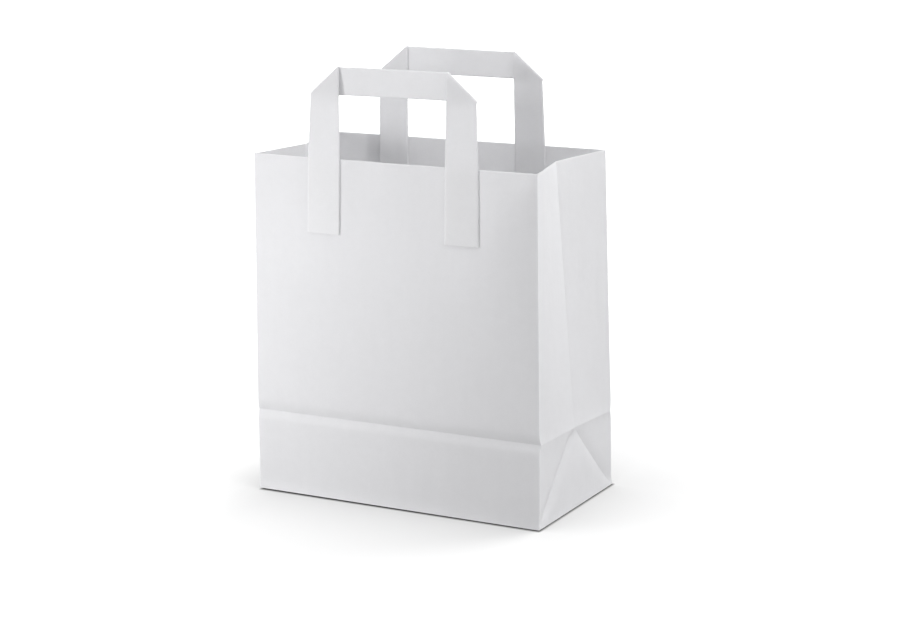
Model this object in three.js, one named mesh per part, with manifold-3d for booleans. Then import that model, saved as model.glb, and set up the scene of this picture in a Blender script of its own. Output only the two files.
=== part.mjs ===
// White kraft carrier bag with a folded block bottom and two flat tape handles.
// Millimetres, +Z up, the front panel faces -Y, the origin lies under the middle of the base.
import * as THREE from 'three';
import { mergeVertices } from 'three/addons/utils/BufferGeometryUtils.js';
import Module from 'manifold-3d';

// The sheet, and the bag that it is folded into, measured outside
const paper = 0.15; // one thickness of the sheet
const bagWidth = 220; // left to right at the base
const bagDepth = 111; // front to back at the base
const bagHeight = 240; // base to rim

// How the opened bag draws in above its base
const creaseSetIn = 0.75; // front and back panels at the bottom crease
const mouthSetIn = 3.75; // front and back panels at the rim
const mouthNarrowing = 1.5; // each upright edge at the rim
const nodeTuck = 1.5; // middle of a gusset at the bottom crease
const mouthTuck = 10.5; // middle of a gusset at the rim

// The crease left across the front and back where the bag was pressed flat
const creaseDip = 0.7; // how far the fold line sinks into the panel
const creaseReach = 8; // how far above and below the paper bends towards it

// The folded bottom and the seam that closes the sheet into a tube
const flapOverlap = 16; // back bottom flap laid over the front one
const flapEdge = 0.4; // bottom flaps start this far in from the rounded bottom fold
const seamWidth = 14; // overlap glued up the back panel
const seamInset = 30; // from the back panel's left edge to the seam

// The handles, each one strip of folded paper tape
const tapeThickness = 0.7;
const gripGap = 83.5; // between the legs, just under the bar
const barWidth = 18; // the bar that the hand holds, top to bottom
const barRise = 63; // rim to the top of the bar
const legWidth = 21.5; // leg just under its corner fold
const footWidth = 25; // leg at its lower end
const footDrop = 52.4; // rim down to the leg's lower end
const foldGap = 0.6; // between a leg and the bar folded behind it
const glueLine = 0.3; // between a leg and the panel that it is glued to
const frontHandleShift = 0.2; // off the middle of the bag, to the right
const backHandleShift = -1.7;

const paperColour = '#e9eaec';
const tapeColour = '#e7e8ea';
const paperRoughness = 0.86;
const tapeRoughness = 0.8;

// Cutting bodies run past what they cut, and joined bodies bite into each other, by these amounts
const overrun = 2;
const bite = paper / 2;
const gussetRows = 6; // facets up each twisted half of a gusset
const gussetColumns = 4; // and across it

// A block bottom folds up at 45 degrees, so its crease lies half the depth above the base
const creaseHeight = bagDepth / 2;
const floorUnder = 2 * paper; // the two bottom flaps lie under the bag's own floor
const lean = Math.atan2(mouthSetIn - creaseSetIn, bagHeight - creaseHeight);

const baseLevel = { z: 0, halfWidth: bagWidth / 2, halfDepth: bagDepth / 2, tuck: 0 };
const creaseLevel = {
  z: creaseHeight,
  halfWidth: bagWidth / 2,
  halfDepth: bagDepth / 2 - creaseSetIn,
  tuck: nodeTuck,
};
const mouthLevel = {
  z: bagHeight,
  halfWidth: bagWidth / 2 - mouthNarrowing,
  halfDepth: bagDepth / 2 - mouthSetIn,
  tuck: mouthTuck,
};

const wasm = await Module();
wasm.setup();

function toSolid(geometry) {
  geometry.deleteAttribute('normal');
  geometry.deleteAttribute('uv');
  const merged = mergeVertices(geometry);
  return new wasm.Manifold(new wasm.Mesh({
    numProp: 3,
    vertProperties: merged.attributes.position.array,
    triVerts: merged.index.array,
  }));
}

function toGeometry(solid) {
  const { vertProperties, triVerts } = solid.getMesh();
  const geometry = new THREE.BufferGeometry();
  geometry.setAttribute('position', new THREE.BufferAttribute(vertProperties, 3));
  geometry.setIndex(new THREE.BufferAttribute(triVerts, 1));
  const faceted = geometry.toNonIndexed();
  faceted.computeVertexNormals();
  return faceted;
}

// A closed solid through a stack of outlines, lowest first, each drawn anticlockwise from above.
// A facet is split towards the fold corner that it runs up to, as the paper creases there.
function loft(outlines, foldCorners = []) {
  const count = outlines[0].length;
  const index = [];
  for (let row = 0; row < outlines.length - 1; row += 1) {
    for (let corner = 0; corner < count; corner += 1) {
      const next = (corner + 1) % count;
      const low = row * count;
      const high = low + count;
      if (foldCorners.includes(next)) {
        index.push(low + corner, low + next, high + next);
        index.push(low + corner, high + next, high + corner);
      } else {
        index.push(low + corner, low + next, high + corner);
        index.push(low + next, high + next, high + corner);
      }
    }
  }
  const lastRow = (outlines.length - 1) * count;
  for (const [a, b, c] of capFacets(outlines[0])) {
    index.push(a, c, b);
  }
  for (const [a, b, c] of capFacets(outlines.at(-1))) {
    index.push(lastRow + a, lastRow + b, lastRow + c);
  }
  const geometry = new THREE.BufferGeometry();
  geometry.setAttribute('position', new THREE.Float32BufferAttribute(outlines.flat(2), 3));
  geometry.setIndex(index);
  return toSolid(geometry);
}

function capFacets(outline) {
  return THREE.ShapeUtils.triangulateShape(outline.map(([x, y]) => new THREE.Vector2(x, y)), []);
}

function between(low, high, share) {
  const level = {};
  for (const key of Object.keys(low)) {
    level[key] = THREE.MathUtils.lerp(low[key], high[key], share);
  }
  return level;
}

// The bag's size at any height, carried on in a straight line above the rim
function levelAt(z) {
  if (z < creaseHeight) {
    return between(baseLevel, creaseLevel, z / creaseHeight);
  }
  return between(creaseLevel, mouthLevel, (z - creaseHeight) / (bagHeight - creaseHeight));
}

// Four upright edges, with each gusset drawn in between them to its middle fold.
// Extra points part each half of a gusset into columns.
function bagOutline({ z, halfWidth, halfDepth, tuck }, inset, columns) {
  const x = halfWidth - inset;
  const y = halfDepth - inset;
  const fold = x - tuck;
  const corners = [[x, -y], [fold, 0], [x, y], [-x, y], [-fold, 0], [-x, -y]];
  const outline = [];
  corners.forEach(([startX, startY], corner) => {
    const [endX, endY] = corners[(corner + 1) % corners.length];
    const parts = startX * endX > 0 ? columns : 1;
    for (let part = 0; part < parts; part += 1) {
      const share = part / parts;
      outline.push([
        THREE.MathUtils.lerp(startX, endX, share),
        THREE.MathUtils.lerp(startY, endY, share),
        z,
      ]);
    }
  });
  return outline;
}

// The block that the bottom folds shape, and the tube above it that twists towards the mouth
function bagForm(bottom, top, inset) {
  const rightFold = 1;
  const leftFold = 4;
  const block = [bottom, creaseHeight].map((z) => bagOutline(levelAt(z), inset, 1));
  const tube = [];
  for (let row = 0; row <= gussetRows; row += 1) {
    const z = THREE.MathUtils.lerp(creaseHeight, top, row / gussetRows);
    tube.push(bagOutline(levelAt(z), inset, gussetColumns));
  }
  return loft(block, [rightFold, leftFold]).add(loft(tube));
}

// The shallow valley that the crease presses across a panel: side is -1 at the front, 1 at the back
function creaseValley(side, inset) {
  const face = creaseLevel.halfDepth - inset;
  const rise = creaseReach * (creaseDip + overrun) / creaseDip;
  const section = new THREE.Shape([
    new THREE.Vector2(side * (face - creaseDip), creaseHeight),
    new THREE.Vector2(side * (face + overrun), creaseHeight + rise),
    new THREE.Vector2(side * (face + overrun), creaseHeight - rise),
  ]);
  const length = bagWidth + 2 * overrun;
  const geometry = new THREE.ExtrudeGeometry(section, { depth: length, bevelEnabled: false });
  const alongX = new THREE.Matrix4().makeBasis(
    new THREE.Vector3(0, 1, 0),
    new THREE.Vector3(0, 0, 1),
    new THREE.Vector3(1, 0, 0),
  );
  geometry.applyMatrix4(alongX).translate(-length / 2, 0, 0);
  return toSolid(geometry);
}

function withCreases(form, inset) {
  return form.subtract(creaseValley(-1, inset)).subtract(creaseValley(1, inset));
}

// A bottom flap: its long edge is the bag's bottom fold, and its ends are folded at 45 degrees
function bottomFlap(side, underside) {
  const reach = (bagDepth + flapOverlap) / 2;
  const halfLong = bagWidth / 2 - flapEdge;
  const foldLine = side * (bagDepth / 2 - flapEdge);
  const freeEdge = side * (bagDepth / 2 - reach);
  const halfShort = bagWidth / 2 - reach;
  const outline = new THREE.Shape([
    new THREE.Vector2(-halfLong, foldLine),
    new THREE.Vector2(halfLong, foldLine),
    new THREE.Vector2(halfShort, freeEdge),
    new THREE.Vector2(-halfShort, freeEdge),
  ]);
  const depth = floorUnder + bite - underside;
  const geometry = new THREE.ExtrudeGeometry(outline, { depth, bevelEnabled: false });
  return toSolid(geometry.translate(0, 0, underside));
}

// The sheet's free edge, glued over its other edge all the way up the back panel
function backSeam() {
  const left = -bagWidth / 2 + seamInset;
  const right = left + seamWidth;
  return loft([floorUnder, creaseHeight, bagHeight].map((z) => {
    const face = levelAt(z).halfDepth;
    const inside = face - bite;
    const outside = face + paper;
    return [[left, inside, z], [right, inside, z], [right, outside, z], [left, outside, z]];
  }));
}

function bagBody() {
  const outside = withCreases(bagForm(floorUnder, bagHeight, 0).add(backSeam()), 0);
  const inside = withCreases(bagForm(floorUnder + paper, bagHeight + overrun, paper), paper);
  const material = new THREE.MeshStandardMaterial({
    color: paperColour,
    roughness: paperRoughness,
    metalness: 0,
  });
  const folded = outside.add(bottomFlap(-1, paper)).add(bottomFlap(1, 0));
  const mesh = new THREE.Mesh(toGeometry(folded.subtract(inside)), material);
  mesh.name = 'bag_body';
  return mesh;
}

// A flat ply drawn by its corners in X and Z, with its back face at the given depth
function ply(corners, thickness, back) {
  const outline = new THREE.Shape(corners.map(([x, z]) => new THREE.Vector2(x, z)));
  const geometry = new THREE.ExtrudeGeometry(outline, { depth: thickness, bevelEnabled: false });
  return toSolid(geometry.rotateX(Math.PI / 2).translate(0, back, 0));
}

// One strip of tape: up a leg, folded back at the corner, along the bar and down the other leg.
// The rim is at Z 0, and the legs' back faces are at Y 0.
function handle(name, shift) {
  const inner = gripGap / 2;
  const outer = inner + legWidth;
  const legMiddle = inner + legWidth / 2;
  const barLow = barRise - barWidth;
  const barBack = foldGap + tapeThickness;
  const turn = tapeThickness * Math.SQRT2;
  const bar = [[-outer, barLow], [outer, barLow], [inner, barRise], [-inner, barRise]];
  let strip = ply(bar, tapeThickness, barBack);
  for (const side of [-1, 1]) {
    const leg = [
      [side * (legMiddle - footWidth / 2), -footDrop],
      [side * (legMiddle + footWidth / 2), -footDrop],
      [side * outer, barLow],
      [side * inner, barRise],
    ];
    const cornerFold = [
      [side * outer, barLow],
      [side * inner, barRise],
      [side * inner, barRise - turn],
      [side * (outer - turn), barLow],
    ];
    strip = strip.add(ply(leg, tapeThickness, 0));
    strip = strip.add(ply(cornerFold, barBack + tapeThickness, barBack));
  }
  const material = new THREE.MeshStandardMaterial({
    color: tapeColour,
    roughness: tapeRoughness,
    metalness: 0,
  });
  const mesh = new THREE.Mesh(toGeometry(strip), material);
  mesh.name = name;
  mesh.position.set(shift, -glueLine, 0);
  return mesh;
}

// The front handle is glued outside the front panel, and the back handle inside the back panel
const frontPanel = new THREE.Group();
frontPanel.position.set(0, -mouthLevel.halfDepth, bagHeight);
frontPanel.rotation.x = -lean;
frontPanel.add(handle('front_handle', frontHandleShift));

const backPanel = new THREE.Group();
backPanel.position.set(0, mouthLevel.halfDepth - paper, bagHeight);
backPanel.rotation.x = lean;
backPanel.add(handle('back_handle', backHandleShift));

const carrierBag = new THREE.Group();
carrierBag.add(bagBody(), frontPanel, backPanel);

export default carrierBag;
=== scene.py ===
from math import atan2, cos, pi, radians, sin, tau

import bpy
from mathutils import Matrix, Vector


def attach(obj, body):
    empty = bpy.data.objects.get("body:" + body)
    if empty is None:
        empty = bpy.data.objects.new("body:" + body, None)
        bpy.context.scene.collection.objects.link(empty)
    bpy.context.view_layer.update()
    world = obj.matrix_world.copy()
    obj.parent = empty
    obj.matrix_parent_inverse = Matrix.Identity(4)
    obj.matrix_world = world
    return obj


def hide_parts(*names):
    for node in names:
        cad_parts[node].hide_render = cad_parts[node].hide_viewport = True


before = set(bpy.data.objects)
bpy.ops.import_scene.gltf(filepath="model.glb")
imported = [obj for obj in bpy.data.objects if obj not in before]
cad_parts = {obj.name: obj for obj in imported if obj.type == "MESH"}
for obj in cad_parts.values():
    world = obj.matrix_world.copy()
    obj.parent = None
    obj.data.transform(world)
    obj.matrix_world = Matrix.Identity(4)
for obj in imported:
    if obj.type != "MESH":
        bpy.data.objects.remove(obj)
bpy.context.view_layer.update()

# The bag body is one sheet of white kraft paper, folded into a tube with a pleat in each side
# and a square bottom, and pasted along a seam up the back and under the base. It was pressed
# flat before it was opened, so every fold stays in the paper as a groove or a ridge.
MM = 0.001
SHEET_THICKNESS = 0.15 * MM
BAG_WIDTH = 220.3 * MM
BAG_DEPTH = 113.9 * MM
BAG_HEIGHT = 240 * MM
CREASE_HEIGHT = 56.75 * MM  # at the side pleats; higher on the front and lower on the back
CREASE_SET_IN = 0.55 * MM
MOUTH_SET_IN = 4.35 * MM
sheet_sizes = {
    "Width": BAG_WIDTH,
    "Depth": BAG_DEPTH,
    "Height": BAG_HEIGHT,
    "Thickness": SHEET_THICKNESS,
    "Crease Height": CREASE_HEIGHT,
    "Crease Tilt": -0.0315,
    "Crease Set In": CREASE_SET_IN,
    "Crease Flare": 0.1 * MM,
    "Mouth Set In": MOUTH_SET_IN,
    "Mouth Narrowing": 1.5 * MM,
    "Node Tuck": 1.5 * MM,
    "Mouth Tuck": 10.8 * MM,
    "Pleat Shift": -3.0 * MM,
    "Crease Dip": 2.0 * MM,
    "Dip Reach Above": 8.5 * MM,
    "Dip Reach Below": 5.5 * MM,
    "Crease Ridge": 0.4 * MM,
    "Ridge Reach": 8.0 * MM,
    "Pleat Groove": 0.15 * MM,
    "Groove Reach": 3.0 * MM,
    "Groove Fade": 30.0 * MM,
    "Front Diagonal Groove": 2.0 * MM,
    "Back Diagonal Groove": 0.9 * MM,
    "Diagonal Reach": 9.0 * MM,
    "Diagonal Fade": 12.0 * MM,
    "Base Flare": 1.4 * MM,
    "Base Flare Reach": 10.0 * MM,
    "Side Flare Share": 0.18,
    "Base Lift": 0.8 * MM,
    "Base Lift Reach": 12.0 * MM,
    "Base Lift Height": 10.0 * MM,
    "Base Lift Drift": 0.6,
    "Cushion Height": 1.2 * MM,
    "Cushion Reach": 34.0 * MM,
    "Panel Spring": 0.35,
    "Strip Spring": 0.8,
    "Left Spring Share": 0.3,
    "Leg Middle": 52.5 * MM,
    "Leg Half Width": 13.0 * MM,
    "Leg Drop": 55.0 * MM,
    "Leg Fade Across": 12.0 * MM,
    "Leg Fade Down": 20.0 * MM,
    "Wave Height": 0.8 * MM,
    "Wave Fade": 14.0 * MM,
    "Pleat Wave Fade": 12.0 * MM,
    "Rim Wave Height": 0.7 * MM,
    "Rim Wave Reach": 40.0 * MM,
    "Rim Swell Height": 0.7 * MM,
    "Rim Swell Length": 70.0 * MM,
    "Rim Swell Start": -13.0 * MM,
    "Side Hollow": 1.0 * MM,
    "Hollow Start": 120.0 * MM,
    "Hollow Rise": 80.0 * MM,
    "Seam Place": 30.0 * MM,
    "Seam Width": 14.0 * MM,
    "Flap Edge": 0.4 * MM,
    "Flap Reach": 63.5 * MM,
    "Wear And Highlight Reach": 1.0 * MM,
    "Seed": 4.0,
}


class Wire:
    """An output socket of a node tree; sums and products of wires add the nodes that work them out."""

    def __init__(self, socket):
        self.socket = socket

    @staticmethod
    def node(tree, kind, settings=None, inputs=None, output=0):
        """Adds a node of any kind, sets it up, feeds its inputs and gives one of its outputs."""
        made = tree.nodes.new(kind)
        for name, value in (settings or {}).items():
            setattr(made, name, value)
        for key, value in (inputs or {}).items():
            if isinstance(value, Wire):
                tree.links.new(value.socket, made.inputs[key])
            else:
                made.inputs[key].default_value = value
        return Wire(made.outputs[output]) if made.outputs else None

    def maths(self, operation, other=0.0):
        tree = self.socket.id_data
        return Wire.node(tree, "ShaderNodeMath", {"operation": operation}, {0: self, 1: other})

    def __add__(self, other):
        return self.maths("ADD", other)

    def __sub__(self, other):
        return self.maths("SUBTRACT", other)

    def __mul__(self, other):
        return self.maths("MULTIPLY", other)

    def __truediv__(self, other):
        return self.maths("DIVIDE", other)

    def __pow__(self, other):
        return self.maths("POWER", other)

    def __neg__(self):
        return self * -1.0

    def __abs__(self):
        return self.maths("ABSOLUTE")

    def __rsub__(self, other):
        return self * -1.0 + other

    __radd__ = __add__
    __rmul__ = __mul__

    def least(self, other):
        return self.maths("MINIMUM", other)

    def most(self, other):
        return self.maths("MAXIMUM", other)

    def clamped(self):
        return self.least(1.0).most(0.0)

    def eased(self):
        """A share from 0 to 1, with a level start and end."""
        share = self.clamped()
        return share * share * (3.0 - 2.0 * share)

    def parts(self):
        tree = self.socket.id_data
        return [Wire.node(tree, "ShaderNodeSeparateXYZ", None, {0: self}, axis) for axis in range(3)]


def noise(tree, place, lengths, seed, detail=1.0):
    """A soft random value about 0, whose swells have these lengths along X, Y and Z."""
    counts = tuple(1 / length for length in lengths)
    scaled = Wire.node(tree, "ShaderNodeVectorMath", {"operation": "MULTIPLY"}, {0: place, 1: counts})
    settings = {"noise_dimensions": "4D"}
    inputs = {"Vector": scaled, "W": seed, "Scale": 1.0, "Detail": detail, "Roughness": 0.5}
    return Wire.node(tree, "ShaderNodeTexNoise", settings, inputs) - 0.5


COCKLE_LENGTHS = (20 * MM, 20 * MM, 32 * MM)
CLOUD_LENGTHS = (6 * MM, 6 * MM, 6 * MM)
GRAIN_LENGTHS = (0.9 * MM, 0.9 * MM, 0.9 * MM)
CLOUD_TONE = 0.6
GRAIN_TONE = 0.8
STREAK_TONE = 0.4
WEAR_AND_HIGHLIGHT_TONE = 0.9  # a rubbed fold is lighter, and a painted highlight is added with it
COCKLE_BUMP = 2.4
CLOUD_BUMP = 0.35
GRAIN_BUMP = 0.06
BUMP_HEIGHT = 0.3 * MM
MATT_ROUGHNESS = 0.84
GRAIN_ROUGHNESS = 0.2
PAPER_SHEEN = 0.25
GLUE_FADE = 1 * MM
GLUED_GLOW = 0.7  # the share of light that still gets through a glued strip


def paper(name, colour, shade, glow, streak=None, glued_below=None):
    """White kraft paper: fine fibres, cloudy where they lie closer, and a little light through it."""
    made = bpy.data.materials.new(name)
    made.use_nodes = True
    tree = made.node_tree
    tree.nodes.clear()
    place = Wire.node(tree, "ShaderNodeTexCoord", None, None, "Object")
    cockle = noise(tree, place, COCKLE_LENGTHS, seed=4.0, detail=3.0)
    cloud = noise(tree, place, CLOUD_LENGTHS, seed=1.0, detail=4.0)
    grain = noise(tree, place, GRAIN_LENGTHS, seed=2.0, detail=2.0)
    tone = 0.5 + cloud * CLOUD_TONE + grain * GRAIN_TONE
    if streak:
        tone = tone + noise(tree, place, streak, seed=3.0, detail=2.0) * STREAK_TONE
    # the folds are lighter: partly rubbed wear, partly a painted highlight
    wear_and_highlight = Wire.node(tree, "ShaderNodeAttribute", {"attribute_name": "fold"}, None, "Fac")
    tone = (tone + wear_and_highlight * WEAR_AND_HIGHLIGHT_TONE).clamped()
    tint = Wire.node(tree, "ShaderNodeMix", {"data_type": "RGBA"}, {0: tone, 6: shade, 7: colour}, 2)
    height = cockle * COCKLE_BUMP + cloud * CLOUD_BUMP + grain * GRAIN_BUMP
    bump_inputs = {"Strength": 1.0, "Distance": BUMP_HEIGHT, "Height": height}
    normal = Wire.node(tree, "ShaderNodeBump", None, bump_inputs)
    surface = Wire.node(tree, "ShaderNodeBsdfPrincipled", None, {
        "Base Color": tint,
        "Roughness": MATT_ROUGHNESS + grain * GRAIN_ROUGHNESS,
        "Specular IOR Level": PAPER_SHEEN,
        "Normal": normal,
    })
    between = [(dark + light) / 2 for dark, light in zip(shade, colour)]
    through = Wire.node(tree, "ShaderNodeBsdfTranslucent", None, {"Color": between, "Normal": normal})
    if glued_below:
        free = ((place.parts()[2] - glued_below) / GLUE_FADE).eased()
        glow = (free * (1.0 - GLUED_GLOW) + GLUED_GLOW) * glow
    both = Wire.node(tree, "ShaderNodeMixShader", None, {0: glow, 1: surface, 2: through})
    Wire.node(tree, "ShaderNodeOutputMaterial", None, {"Surface": both})
    return made


bag_paper = paper(
    "white_kraft_paper",
    colour=(0.915, 0.915, 0.926, 1),
    shade=(0.835, 0.835, 0.846, 1),
    glow=0.4,
    streak=(6 * MM, 6 * MM, 60 * MM),
)

sheet = bpy.data.node_groups.new("folded_sheet", "GeometryNodeTree")
for name in sheet_sizes:
    sheet.interface.new_socket(name, in_out="INPUT", socket_type="NodeSocketFloat")
sheet.interface.new_socket("Geometry", in_out="OUTPUT", socket_type="NodeSocketGeometry")
sheet_entry = sheet.nodes.new("NodeGroupInput")
size = {name: Wire(sheet_entry.outputs[name]) for name in sheet_sizes}
position = Wire.node(sheet, "GeometryNodeInputPosition")
x, y, z = position.parts()


def point(px, py, pz):
    return Wire.node(sheet, "ShaderNodeCombineXYZ", None, {0: px, 1: py, 2: pz})


def mixed(share, start, end):
    return Wire.node(sheet, "ShaderNodeMix", {"data_type": "VECTOR"}, {0: share, 4: start, 5: end}, 1)


CROWDING = 0.8  # how much closer the rows of a panel lie beside its folds than in its middle


def crowded(share):
    return share - (share * tau).maths("SINE") * (CROWDING / tau)


across = crowded(x + 0.5)
up = crowded(y + 0.5)


def panel(low_start, low_end, high_end, high_start, columns, rows):
    """A piece of the sheet between four corners, anticlockwise as seen from outside the bag."""
    sizes = {0: 1.0, 1: 1.0, 2: columns + 1, 3: rows + 1}
    grid = Wire.node(sheet, "GeometryNodeMeshGrid", None, sizes)
    low = mixed(across, low_start, low_end)
    high = mixed(across, high_start, high_end)
    place = mixed(up, low, high)
    return Wire.node(sheet, "GeometryNodeSetPosition", None, {"Geometry": grid, "Position": place})


def joined(pieces):
    made = sheet.nodes.new("GeometryNodeJoinGeometry")
    for piece in pieces:
        sheet.links.new(piece.socket, made.inputs[0])
    return Wire(made.outputs[0])


WELD = 0.001 * MM


def welded(pieces):
    inputs = {"Geometry": joined(pieces), "Distance": WELD}
    return Wire.node(sheet, "GeometryNodeMergeByDistance", None, inputs)


# The corners of the sheet at the base, the crease and the mouth, by right or left and by back or
# front; those at neither back nor front are the ends of the pleats' middle folds
FLAP_LAYERS = 2.0
half_width = size["Width"] * 0.5
half_depth = size["Depth"] * 0.5
node_z = size["Crease Height"]
levels = {
    "base": (half_width, half_depth, size["Thickness"] * FLAP_LAYERS, 0.0, 0.0, 0.0),
    "crease": (
        half_width + size["Crease Flare"],
        half_depth - size["Crease Set In"],
        node_z,
        size["Crease Tilt"],
        size["Node Tuck"],
        0.0,
    ),
    "mouth": (
        half_width - size["Mouth Narrowing"],
        half_depth - size["Mouth Set In"],
        size["Height"],
        0.0,
        size["Mouth Tuck"],
        size["Pleat Shift"],
    ),
}
corners = {}
for name, (wide, deep, high, tilt, tuck, shift) in levels.items():
    for right in (-1, 1):
        corners[name, right, 0] = point((wide - tuck) * right, shift, high)
        for back in (-1, 1):
            corners[name, right, back] = point(wide * right, deep * back, high + deep * tilt * back)

PANEL_COLUMNS = 72
PANEL_ROWS = 56
STRIP_ROWS = 24
PLEAT_COLUMNS = 24
BASE_COLUMNS = 40
SEAM_COLUMNS = 4
walls = []
for back in (-1, 1):
    left, right = (-1, 1) if back < 0 else (1, -1)
    base, crease, mouth = (
        (corners[name, left, back], corners[name, right, back]) for name in ("base", "crease", "mouth")
    )
    walls.append(panel(*base, *reversed(crease), PANEL_COLUMNS, STRIP_ROWS))
    walls.append(panel(*crease, *reversed(mouth), PANEL_COLUMNS, PANEL_ROWS))
for side in (-1, 1):
    first, last = (-1, 1) if side > 0 else (1, -1)
    node = corners["crease", side, 0]
    base_first, base_last = corners["base", side, first], corners["base", side, last]
    crease_first, crease_last = corners["crease", side, first], corners["crease", side, last]
    mouth_first, mouth_last = corners["mouth", side, first], corners["mouth", side, last]
    pleat = corners["mouth", side, 0]
    walls.append(panel(crease_first, node, pleat, mouth_first, PLEAT_COLUMNS, PANEL_ROWS))
    walls.append(panel(node, crease_last, mouth_last, pleat, PLEAT_COLUMNS, PANEL_ROWS))
    walls.append(panel(base_first, base_first, node, crease_first, PLEAT_COLUMNS, STRIP_ROWS))
    walls.append(panel(base_first, base_last, node, node, BASE_COLUMNS, STRIP_ROWS))
    walls.append(panel(base_last, base_last, crease_last, node, PLEAT_COLUMNS, STRIP_ROWS))
walls.append(panel(
    corners["base", -1, 1], corners["base", 1, 1], corners["base", 1, -1], corners["base", -1, -1],
    PANEL_COLUMNS, BASE_COLUMNS,
))

# Where a point of the sheet lies: its share of the way up, and how far it is from each fold
DIAGONAL = radians(45)
TURN_OVER = 6 * MM  # the front half gives way to the back half over this depth
crease_z = node_z + y * size["Crease Tilt"]
rise = ((z - crease_z) / (size["Height"] - crease_z)).clamped()
strip_rise = (z / crease_z).clamped()
flare = size["Crease Flare"] * strip_rise - (size["Crease Flare"] + size["Mouth Narrowing"]) * rise
set_in = size["Crease Set In"] * strip_rise + (size["Mouth Set In"] - size["Crease Set In"]) * rise
side_gap = half_width + flare - abs(x)
face_gap = half_depth - set_in - abs(y)
edge_gap = side_gap.most(face_gap)
rim_gap = size["Height"] - z
crease_gap = abs(z - crease_z)
pleat_y = y - size["Pleat Shift"] * rise
pleat_gap = abs(pleat_y).most(crease_z - z)
diagonal_gap = abs(abs(y) / half_depth + z / node_z - 1.0) * node_z * cos(DIAGONAL)
above_line = (z - crease_z).maths("GREATER_THAN", 0.0)
above_crease = ((z - crease_z) / size["Ridge Reach"]).eased()
below_crease = ((crease_z - z) / size["Ridge Reach"]).eased()
in_front = (0.5 - y / TURN_OVER).eased()
from_left = x + half_width


def bent(gap, reach):
    """How strongly paper bends towards a fold that lies this far off."""
    share = (1.0 - gap / reach).most(0.0)
    return share * share


def sprung(gap):
    """Paper springs out a little beside a fold: nothing on the fold, most at the cushion's reach."""
    share = gap.most(0.0) / size["Cushion Reach"]
    return share * (1.0 - share).maths("EXPONENT")


# How far the front and back panels stand out: slow waves, a cushion beside each edge, a flare
# at the bottom fold, the pressed crease, and a hollow between the left edge and the handle
SWELL_LENGTHS = (70 * MM, 70 * MM, 150 * MM)
RIPPLE_LENGTHS = (16 * MM, 90 * MM, 90 * MM)
RIPPLE_SEED = 3.0
past_leg = (abs(abs(x) - size["Leg Middle"]) - size["Leg Half Width"]) / size["Leg Fade Across"]
below_leg = (rim_gap - size["Leg Drop"]) / size["Leg Fade Down"]
beside_legs = past_leg.most(below_leg).eased()
off_edges = (edge_gap / size["Wave Fade"]).eased()
calm = off_edges * (crease_gap / size["Wave Fade"]).eased() * (z / size["Wave Fade"]).eased()
near_rim = (-rim_gap / size["Rim Wave Reach"]).maths("EXPONENT")
swell = noise(sheet, position, SWELL_LENGTHS, size["Seed"])
ripple = noise(sheet, position, RIPPLE_LENGTHS, size["Seed"] + RIPPLE_SEED)
rim_swell = ((x - size["Rim Swell Start"]) / size["Rim Swell Length"] * tau).maths("SINE")
rim_wave = ripple * size["Rim Wave Height"] + rim_swell * size["Rim Swell Height"] * in_front
to_leg = (from_left / (half_width - size["Leg Middle"] - size["Leg Half Width"])).clamped()
hollow = to_leg * (1.0 - to_leg) * 4.0 * in_front
hollow = hollow * ((z - size["Hollow Start"]) / size["Hollow Rise"]).eased()
dip_above = bent(crease_gap, size["Dip Reach Above"])
dip_below = (1.0 - crease_gap / size["Dip Reach Below"]).most(0.0)
dip = dip_below + (dip_above - dip_below) * above_line
spring = (rise * pi).maths("SINE") * size["Panel Spring"]
spring = spring - (strip_rise * pi).maths("SINE") * size["Strip Spring"]
left_share = size["Left Spring Share"]
spring = spring * (from_left / size["Width"] * (1.0 - left_share) + left_share)
base_flare = bent(z, size["Base Flare Reach"]) * size["Base Flare"]
face_out = (
    swell * size["Wave Height"] * calm * beside_legs
    + rim_wave * near_rim * off_edges * beside_legs
    + sprung(side_gap) * size["Cushion Height"] * spring * beside_legs
    + base_flare
    - dip * size["Crease Dip"]
    - hollow * size["Side Hollow"]
)

# How far the pleats stand out: slow waves, a ridge along the crease, a deep groove down each
# diagonal of the bottom and a faint one down the middle fold
SIDE_REACH = 14 * MM
PLEAT_SWELL_LENGTHS = (70 * MM, 45 * MM, 90 * MM)
PLEAT_SEED = 7.0
pleat_swell = noise(sheet, position, PLEAT_SWELL_LENGTHS, size["Seed"] + PLEAT_SEED)
pleat_wave = pleat_swell * size["Wave Height"] * calm * (pleat_gap / size["Pleat Wave Fade"]).eased()
crease_ridge = bent(crease_gap, size["Ridge Reach"]) * size["Crease Ridge"]
diagonal_depth = size["Back Diagonal Groove"]
diagonal_depth = diagonal_depth + (size["Front Diagonal Groove"] - diagonal_depth) * in_front
on_side = (1.0 - side_gap / SIDE_REACH).clamped()
diagonal_dip = bent(diagonal_gap, size["Diagonal Reach"]) * diagonal_depth * below_crease
diagonal_dip = diagonal_dip * (z / size["Diagonal Fade"]).eased() * on_side
pleat_dip = bent(abs(pleat_y), size["Groove Reach"]) * size["Pleat Groove"] * above_crease
pleat_dip = pleat_dip * (rim_gap / size["Groove Fade"]).eased()
side_flare = base_flare * size["Side Flare Share"]
side_out = pleat_wave + crease_ridge + side_flare - diagonal_dip - pleat_dip

# The bottom fold stays a little off the floor, most at its left end
inside_gap = side_gap.least(face_gap).most(0.0)
lifted = bent(z, size["Base Lift Height"]) * bent(inside_gap, size["Base Lift Reach"])
lifted = lifted * (1.0 - x / half_width * size["Base Lift Drift"]) * size["Base Lift"]
warped = point(x * (side_out / half_width + 1.0), y * (face_out / half_depth + 1.0), z + lifted)


def with_waves(piece):
    return Wire.node(sheet, "GeometryNodeSetPosition", None, {"Geometry": piece, "Position": warped})


shell = with_waves(welded(walls))

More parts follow.
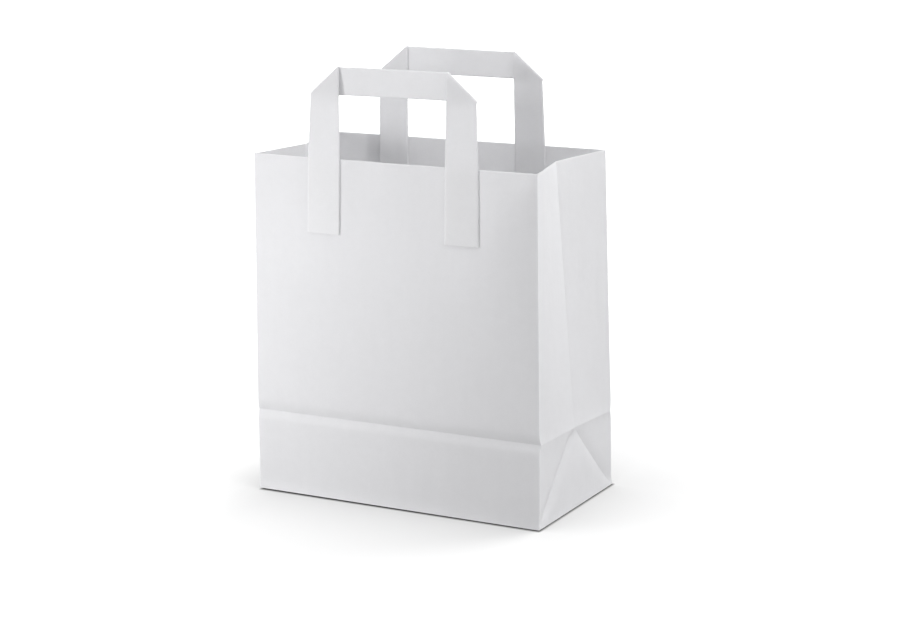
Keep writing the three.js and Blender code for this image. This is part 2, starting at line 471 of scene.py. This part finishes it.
# The lap of the tube's seam, on the outside of the back panel
SEAM_LIFT = 1.15  # in thicknesses of the sheet, so that the lap lies free of the panel
seam_left = half_width * -1.0 + size["Seam Place"]
seam_right = seam_left + size["Seam Width"]
seam = []
for low, high, rows in (("base", "crease", STRIP_ROWS), ("crease", "mouth", PANEL_ROWS)):
    ends = []
    for name in (low, high):
        _, deep, height, tilt, _, _ = levels[name]
        lap_y = deep + size["Thickness"] * SEAM_LIFT
        ends.append([point(edge, lap_y, height + deep * tilt) for edge in (seam_right, seam_left)])
    seam.append(panel(*ends[0], *reversed(ends[1]), SEAM_COLUMNS, rows))
seam = with_waves(welded(seam))

# The two bottom flaps, cut at 45 degrees at their ends, the back one pasted under the front one
flaps = []
for back, underside in ((-1, size["Thickness"]), (1, 0.0)):
    long_half = half_width - size["Flap Edge"]
    short_half = half_width - size["Flap Reach"]
    folded_edge = (half_depth - size["Flap Edge"]) * back
    free_edge = (half_depth - size["Flap Reach"]) * back
    flaps.append(with_waves(panel(
        point(short_half * back, free_edge, underside),
        point(short_half * -back, free_edge, underside),
        point(long_half * -back, folded_edge, underside),
        point(long_half * back, folded_edge, underside),
        PLEAT_COLUMNS, STRIP_ROWS,
    )))

# The upright folds, the bottom fold and the rim are painted a little lighter: partly rubbed wear,
# partly a painted highlight where they catch the light
FACE_WEAR_AND_HIGHLIGHT = 0.5
FOOT_WEAR_AND_HIGHLIGHT = 0.4
SHARP_ANGLE = radians(40)
wear_and_highlight_gap = side_gap.most(face_gap * FACE_WEAR_AND_HIGHLIGHT).least(z * FOOT_WEAR_AND_HIGHLIGHT).least(rim_gap)
wear_and_highlight = (1.0 - wear_and_highlight_gap / size["Wear And Highlight Reach"]).clamped()
whole = Wire.node(
    sheet, "GeometryNodeStoreNamedAttribute", {"data_type": "FLOAT", "domain": "POINT"},
    {"Geometry": joined([shell, seam, *flaps]), "Name": "fold", "Value": wear_and_highlight},
)
whole = Wire.node(sheet, "GeometryNodeSetShadeSmooth", None, {"Geometry": whole})
sharp = Wire.node(sheet, "GeometryNodeInputMeshEdgeAngle").maths("GREATER_THAN", SHARP_ANGLE)
whole = Wire.node(
    sheet, "GeometryNodeSetShadeSmooth", {"domain": "EDGE"},
    {"Geometry": whole, "Selection": sharp, "Shade Smooth": False},
)
whole = Wire.node(sheet, "GeometryNodeRealizeInstances", None, {"Geometry": whole})
whole = Wire.node(sheet, "GeometryNodeSetMaterial", None, {"Geometry": whole, "Material": bag_paper})
sheet_exit = sheet.nodes.new("NodeGroupOutput")
sheet.links.new(whole.socket, sheet_exit.inputs[0])

bag = bpy.data.objects.new("paper_bag", bpy.data.meshes.new("paper_bag"))
bpy.context.scene.collection.objects.link(bag)
fold_up = bag.modifiers.new("folded_sheet", "NODES")
fold_up.node_group = sheet
for socket in sheet.interface.items_tree:
    if socket.in_out == "INPUT":
        fold_up[socket.identifier] = sheet_sizes[socket.name]
evaluated = bag.evaluated_get(bpy.context.evaluated_depsgraph_get())
bag_mesh = bpy.data.meshes.new_from_object(evaluated)
bag.modifiers.remove(fold_up)
bag.data = bag_mesh
thickness = bag.modifiers.new("thickness", "SOLIDIFY")
thickness.thickness = SHEET_THICKNESS
thickness.offset = -1
thickness.use_even_offset = True
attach(bag, "root")
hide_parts("bag_body")

# The two handles are strips of the same paper folded into flat tape. Each strip runs up a leg,
# turns back on itself in a slanted fold, crosses as the bar and comes down the other leg. The
# front one is glued outside the front panel, and the back one inside the back panel.
TAPE_THICKNESS = 1.0 * MM
FOLD_GAP = 0.1 * MM
GLUE_LINE = 0.15 * MM
EDGE_FACET = 1.0 * MM
EDGE_PROFILE = ((0.12, 0.2), (0.25, 0.3), (0.9, 0.92), (1.0, 1.0), (1.15, 1.0))
END_ROW = 0.002  # a row close to each cut end, as a share of the leg, keeps the end crisp
LEG_ROWS = 24
FOLD_ROWS = 8
BAR_ROWS = 30
LEAST_PART = 1e-9

tape_paper = paper(
    "folded_paper_tape",
    colour=(0.92, 0.92, 0.932, 1),
    shade=(0.84, 0.84, 0.852, 1),
    glow=0.35,
    glued_below=BAG_HEIGHT,
)


def tape_section():
    """The tape's cut as a loop: a share of its width, a shift from there and a height over its middle.
    Its two long edges were pressed thin, so each side has a narrow sloping facet along them."""
    half = TAPE_THICKNESS / 2
    edge = [(share * EDGE_FACET, height * half) for share, height in EDGE_PROFILE]
    face = [(0.0, shift, height) for shift, height in edge]
    face += [(share, 0.0, half) for share in (0.25, 0.5, 0.75)]
    face += [(1.0, -shift, height) for shift, height in reversed(edge)]
    under = [(share, shift, -height) for share, shift, height in reversed(face)]
    return [(0.0, 0.0, 0.0), *face, (1.0, 0.0, 0.0), *under]


def upright(spot):
    """A point of a handle, given in millimetres across and up from the rim."""
    return Vector((spot[0] * MM, 0, spot[1] * MM))


def tape_rows(legs, openings):
    """The strip from foot to foot: its outer edge, its inner edge and the way its face looks.
    A leg is drawn by the outer and inner end of its foot, of its crossing of the rim and of its
    fold, and an opening is the slope at which the bar leaves the leg behind a fold."""
    front = Vector((0, -1, 0))
    half = TAPE_THICKNESS / 2
    radius = (FOLD_GAP + TAPE_THICKNESS) / 2
    leg_rows = []
    folds = []
    for leg in legs:
        foot_outer, foot_inner, rim_outer, rim_inner, low, high = (upright(spot) for spot in leg)
        along = (high - low).normalized()
        outward = Vector((abs(along.z) if low.x > 0 else -abs(along.z), 0, abs(along.x)))
        outer_way = (low - rim_outer).normalized()
        inner_way = (high - rim_inner).normalized()
        low = low - outer_way * (radius + half) / outer_way.dot(outward)
        high = high - inner_way * (radius + half) / inner_way.dot(outward)
        rows = []
        for share in (0.0, END_ROW, *(step / LEG_ROWS for step in range(1, LEG_ROWS + 1))):
            below_rim = min(share * 2, 1.0)
            above_rim = max(share * 2 - 1, 0.0)
            outer = foot_outer.lerp(rim_outer, below_rim).lerp(low, above_rim)
            inner = foot_inner.lerp(rim_inner, below_rim).lerp(high, above_rim)
            rows.append((outer + front * half, inner + front * half, front))
        axis = front * (-FOLD_GAP / 2)
        for step in range(1, FOLD_ROWS):
            turn = pi * step / FOLD_ROWS
            face = front * cos(turn) + outward * sin(turn)
            rows.append((low + axis + face * radius, high + axis + face * radius, face))
        leg_rows.append(rows)
        folds.append((low, high, outward))
    bar = []
    for step in range(BAR_ROWS + 1):
        share = step / BAR_ROWS
        share = share - CROWDING * sin(tau * share) / tau
        edges = []
        for end in (0, 1):
            spot = folds[0][end].lerp(folds[1][end], share)
            parted = [
                max(0.0, (low - spot).dot(outward)) * opening + LEAST_PART
                for (low, _, outward), opening in zip(folds, openings)
            ]
            back = FOLD_GAP + half + parted[0] * parted[1] / sum(parted)
            edges.append(spot - front * back)
        bar.append((*edges, -front))
    return leg_rows[0] + bar + leg_rows[1][::-1]


def tape_handle(name, rows, stand):
    """Sweeps the tape's cut along the rows and stands the strip on the bag."""
    loop = tape_section()
    points = []
    for low, high, face in rows:
        width = (high - low).length
        along = (high - low) / width
        for share, shift, height in loop:
            points.append(stand @ (low + along * (share * width + shift) + face * height))
    count = len(loop)
    faces = []
    for start in range(0, len(points) - count, count):
        for turn in range(count):
            after = (turn + 1) % count
            faces.append((start + turn, start + after, start + count + after, start + count + turn))
    faces.append(tuple(reversed(range(count))))
    faces.append(tuple(range(len(points) - count, len(points))))
    mesh = bpy.data.meshes.new(name)
    mesh.from_pydata(points, [], faces)
    mesh.polygons.foreach_set("use_smooth", [len(face) == 4 for face in faces])
    mesh.materials.append(tape_paper)
    made = bpy.data.objects.new(name, mesh)
    bpy.context.scene.collection.objects.link(made)
    return made


FRONT_LEGS = (
    ((-66.1, -51.7), (-40.8, -51.7), (-64.7, 0.0), (-39.7, 0.0), (-61.7, 44.4), (-39.2, 63.9)),
    ((65.9, -51.7), (40.3, -51.7), (65.8, 0.0), (41.0, 0.0), (65.0, 45.2), (42.7, 63.9)),
)
FRONT_OPENINGS = (0.2, 0.09)
BACK_LEGS = (
    ((-70.9, -52.1), (-47.0, -52.1), (-69.2, 0.0), (-45.6, 0.0), (-67.3, 46.8), (-43.8, 65.8)),
    ((64.2, -52.1), (38.2, -52.1), (63.1, 0.0), (39.3, 0.0), (61.9, 46.6), (39.7, 65.4)),
)
BACK_OPENINGS = (0.02, 0.06)
lean_in = atan2(MOUTH_SET_IN - CREASE_SET_IN, BAG_HEIGHT - CREASE_HEIGHT)
front_y = MOUTH_SET_IN - BAG_DEPTH / 2
back_y = BAG_DEPTH / 2 - MOUTH_SET_IN - SHEET_THICKNESS
for name, node, depth, lean, legs, openings in (
    ("front_tape_handle", "front_handle", front_y, -lean_in, FRONT_LEGS, FRONT_OPENINGS),
    ("back_tape_handle", "back_handle", back_y, lean_in, BACK_LEGS, BACK_OPENINGS),
):
    stand = Matrix.Translation((0, depth, BAG_HEIGHT)) @ Matrix.Rotation(lean, 4, "X")
    stand = stand @ Matrix.Translation((0, -GLUE_LINE, 0))
    handle = tape_handle(name, tape_rows(legs, openings), stand)
    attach(handle, "root")
    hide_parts(node)

# The floor is a plain pale matt sheet that runs far out behind the bag. It is white in the open.
# A painted shadow makes it greyer towards the bag, which hides a part of the sky from it, and a
# painted contact shadow makes it darkest in the narrow gap under the bottom fold.
FLOOR_HALF = 12.0
FLOOR_GREY = 0.4
# the floor's colour is painted darker under the bottom fold, as a painted contact shadow
CONTACT_SHADOW_GREY = 0.2
FOOT_FLARE = 0.85 * MM  # how far the bottom fold stands out at the front and the back
NEAREST = 0.1 * MM
floor_corners = [
    (right * FLOOR_HALF, back * FLOOR_HALF, 0) for right, back in ((-1, -1), (1, -1), (1, 1), (-1, 1))
]
floor_mesh = bpy.data.meshes.new("floor")
floor_mesh.from_pydata(floor_corners, [], [(0, 1, 2, 3)])
floor = bpy.data.objects.new("floor", floor_mesh)
bpy.context.scene.collection.objects.link(floor)
floor_paint = bpy.data.materials.new("pale_floor")
floor_paint.use_nodes = True
floor_tree = floor_paint.node_tree
floor_tree.nodes.clear()
floor_x, floor_y, _ = Wire.node(floor_tree, "ShaderNodeTexCoord", None, None, "Object").parts()
past_x = abs(floor_x) - BAG_WIDTH / 2
past_y = abs(floor_y) - BAG_DEPTH / 2 - FOOT_FLARE


def hidden(past, along, half_length):
    """The share of the sky that a wall of the bag hides from a spot on the floor before it."""
    gap = past.most(NEAREST)
    to_rim = (gap * gap + BAG_HEIGHT ** 2) ** 0.5
    total = 0.0
    for reach in (half_length - along, along + half_length):
        seen_foot = (reach / gap).maths("ARCTANGENT")
        seen_rim = gap / to_rim * (reach / to_rim).maths("ARCTANGENT")
        total = seen_foot - seen_rim + total
    return total * (1 / tau) * past.maths("GREATER_THAN", 0.0)


def length(step_x, step_y):
    return (step_x * step_x + step_y * step_y) ** 0.5


# The share of the sky that the bag hides, rounded about its corners, for the shadow painted onto the
# floor
LEFT_HIDING = 0.8  # the shadow beside the left pleat is faint
RIGHT_HIDING = 1.3  # and beside the right one it is deep
CORNER_SHARE = 0.5
CORNER_REACH = 90 * MM
WALL_HIDING = 0.5  # right beside a wall, half of the sky is hidden
to_right = (floor_x / BAG_WIDTH + 0.5).clamped()
side_hiding = to_right * (RIGHT_HIDING - LEFT_HIDING) + LEFT_HIDING
painted_sky_shadow = hidden(past_y, abs(floor_x), BAG_WIDTH / 2)
painted_sky_shadow = painted_sky_shadow + hidden(past_x, abs(floor_y), BAG_DEPTH / 2) * side_hiding
away_x, away_y = past_x.most(0.0), past_y.most(0.0)
away = length(away_x, away_y)
rounded = (away * (-1 / CORNER_REACH)).maths("EXPONENT") * WALL_HIDING
painted_sky_shadow = painted_sky_shadow + (rounded - painted_sky_shadow) * CORNER_SHARE

# A painted contact shadow: the dark line under the bottom fold, in the floor's colour and in its
# camera-only light
CONTACT_START = -0.9 * MM
CONTACT_DRIFT = 0.009  # it is thinner on the left
SIDE_SQUEEZE = 1.6  # and beside the pleats
CONTACT_REACH = 4 * MM
contact = length(away_x * SIDE_SQUEEZE, away_y) + past_x.most(past_y).least(0.0)
contact = contact - CONTACT_START - floor_x * CONTACT_DRIFT
clear = (contact / CONTACT_REACH).eased()
grey = clear * (FLOOR_GREY - CONTACT_SHADOW_GREY) + CONTACT_SHADOW_GREY
grey = Wire.node(floor_tree, "ShaderNodeCombineColor", None, {0: grey, 1: grey, 2: grey})
matt = Wire.node(floor_tree, "ShaderNodeBsdfDiffuse", None, {"Color": grey})

# Light that only the camera sees, so that the open floor is white; a painted shadow in it darkens the
# floor towards the bag
OPEN_LIFT = 0.71
LEFT_LIFT = 0.03  # the left is painted a little lighter
LEFT_LIMIT = 1.5
BEHIND_LIFT = 0.12  # and painted lightest past the left pleat
BEHIND_START = 90 * MM
BEHIND_REACH = 60 * MM
HIDDEN_LIFT = 0.735
FAR_START = 200 * MM
FAR_REACH = 600 * MM
to_left = (floor_x / (BAG_WIDTH / -2)).least(LEFT_LIMIT).most(-LEFT_LIMIT)
behind = ((-floor_x - BEHIND_START) / BEHIND_REACH).eased()
far = ((away - FAR_START) / FAR_REACH).eased()
open_lift = OPEN_LIFT + to_left * LEFT_LIFT + behind * BEHIND_LIFT
seen = Wire.node(floor_tree, "ShaderNodeLightPath", None, None, "Is Camera Ray")
lift = ((open_lift - painted_sky_shadow * HIDDEN_LIFT) * clear + far) * seen
lift = Wire.node(floor_tree, "ShaderNodeCombineColor", None, {0: lift, 1: lift, 2: lift})
lift = Wire.node(floor_tree, "ShaderNodeEmission", None, {"Color": lift, "Strength": 1.0})
floor_sum = Wire.node(floor_tree, "ShaderNodeAddShader", None, {0: matt, 1: lift})
Wire.node(floor_tree, "ShaderNodeOutputMaterial", None, {"Surface": floor_sum})
floor_mesh.materials.append(floor_paint)

# Soft studio light: a tall key and a low card at the front left, large panels at the right, at
# the back right and overhead, and a faint even glow from all round. Each lamp has its direction
# round and above the bag in degrees, its distance, width and height in metres, and its level.
AIM = Vector((0, 0, 130 * MM))
AMBIENT = 0.085
lamps = {
    "key_front_left": (-47, 8, 0.75, 0.16, 0.34, 0.485),
    "low_card": (-32, -8, 0.48, 0.15, 0.15, 0.305),
    "front_top": (0, 60, 1.5, 0.8, 0.8, 0.14),
    "near_top_right": (40, 45, 0.4, 0.12, 0.12, 0.058),
    "right": (90, 15, 1.5, 0.8, 0.8, 0.325),
    "right_high": (75, 35, 1.5, 0.8, 0.8, 0.29),
    "right_back": (150, 44, 1.5, 0.8, 0.8, 0.74),
    "top": (0, 89, 1.5, 1.2, 1.2, 0.3),
}


def direction(around, above):
    """The way to a spot that lies round the bag from its front, and above it."""
    return Vector((sin(around) * cos(above), -cos(around) * cos(above), sin(above)))


for name, (around, above, distance, width, height, level) in lamps.items():
    spot = AIM + direction(radians(around), radians(above)) * distance
    light = bpy.data.lights.new(name, "AREA")
    light.shape = "RECTANGLE"
    light.size = width
    light.size_y = height
    light.energy = level * (pi * distance) ** 2
    lamp = bpy.data.objects.new(name, light)
    bpy.context.scene.collection.objects.link(lamp)
    facing = (AIM - spot).to_track_quat("-Z", "Y").to_matrix().to_4x4()
    lamp.matrix_world = Matrix.Translation(spot) @ facing
    lamp.visible_camera = False

world = bpy.data.worlds.new("studio")
world.use_nodes = True
sky = world.node_tree
sky.nodes.clear()
direct = Wire.node(sky, "ShaderNodeLightPath", None, None, "Is Camera Ray")
strength = direct * (1.0 - AMBIENT) + AMBIENT
glow = Wire.node(sky, "ShaderNodeBackground", None, {"Color": (1, 1, 1, 1), "Strength": strength})
Wire.node(sky, "ShaderNodeOutputWorld", None, {"Surface": glow})
bpy.context.scene.world = world

# The camera stands to the right of the front, a little above the rim, as in the photograph. It
# looks at the middle of the bag, which stands a little left of and below the picture's centre.
AZIMUTH = radians(28.587)
ELEVATION = radians(13.118)
ROLL = radians(-1.006)
DISTANCE = 1680.3 * MM
AIM_RIGHT = 12.27 * MM
AIM_UP = 8.00 * MM
FOCAL_PIXELS = 2413.5
PICTURE_WIDTH = 900
SENSOR = 36.0
FARTHEST = 60
backward = direction(AZIMUTH, ELEVATION)
level_right = Vector((cos(AZIMUTH), sin(AZIMUTH), 0))
level_up = backward.cross(level_right)
view_right = level_right * cos(ROLL) + level_up * sin(ROLL)
view_up = level_up * cos(ROLL) - level_right * sin(ROLL)
target = Vector((0, 0, BAG_HEIGHT / 2)) + level_right * AIM_RIGHT + level_up * AIM_UP
eye = target + backward * DISTANCE
lens = bpy.data.cameras.new("camera")
lens.sensor_width = SENSOR
lens.lens = FOCAL_PIXELS * SENSOR / PICTURE_WIDTH
lens.clip_end = FARTHEST
camera = bpy.data.objects.new("camera", lens)
bpy.context.scene.collection.objects.link(camera)
axes = Matrix((view_right, view_up, backward)).transposed().to_4x4()
camera.matrix_world = Matrix.Translation(eye) @ axes
bpy.context.scene.camera = camera
bpy.context.scene.view_settings.view_transform = "Standard"
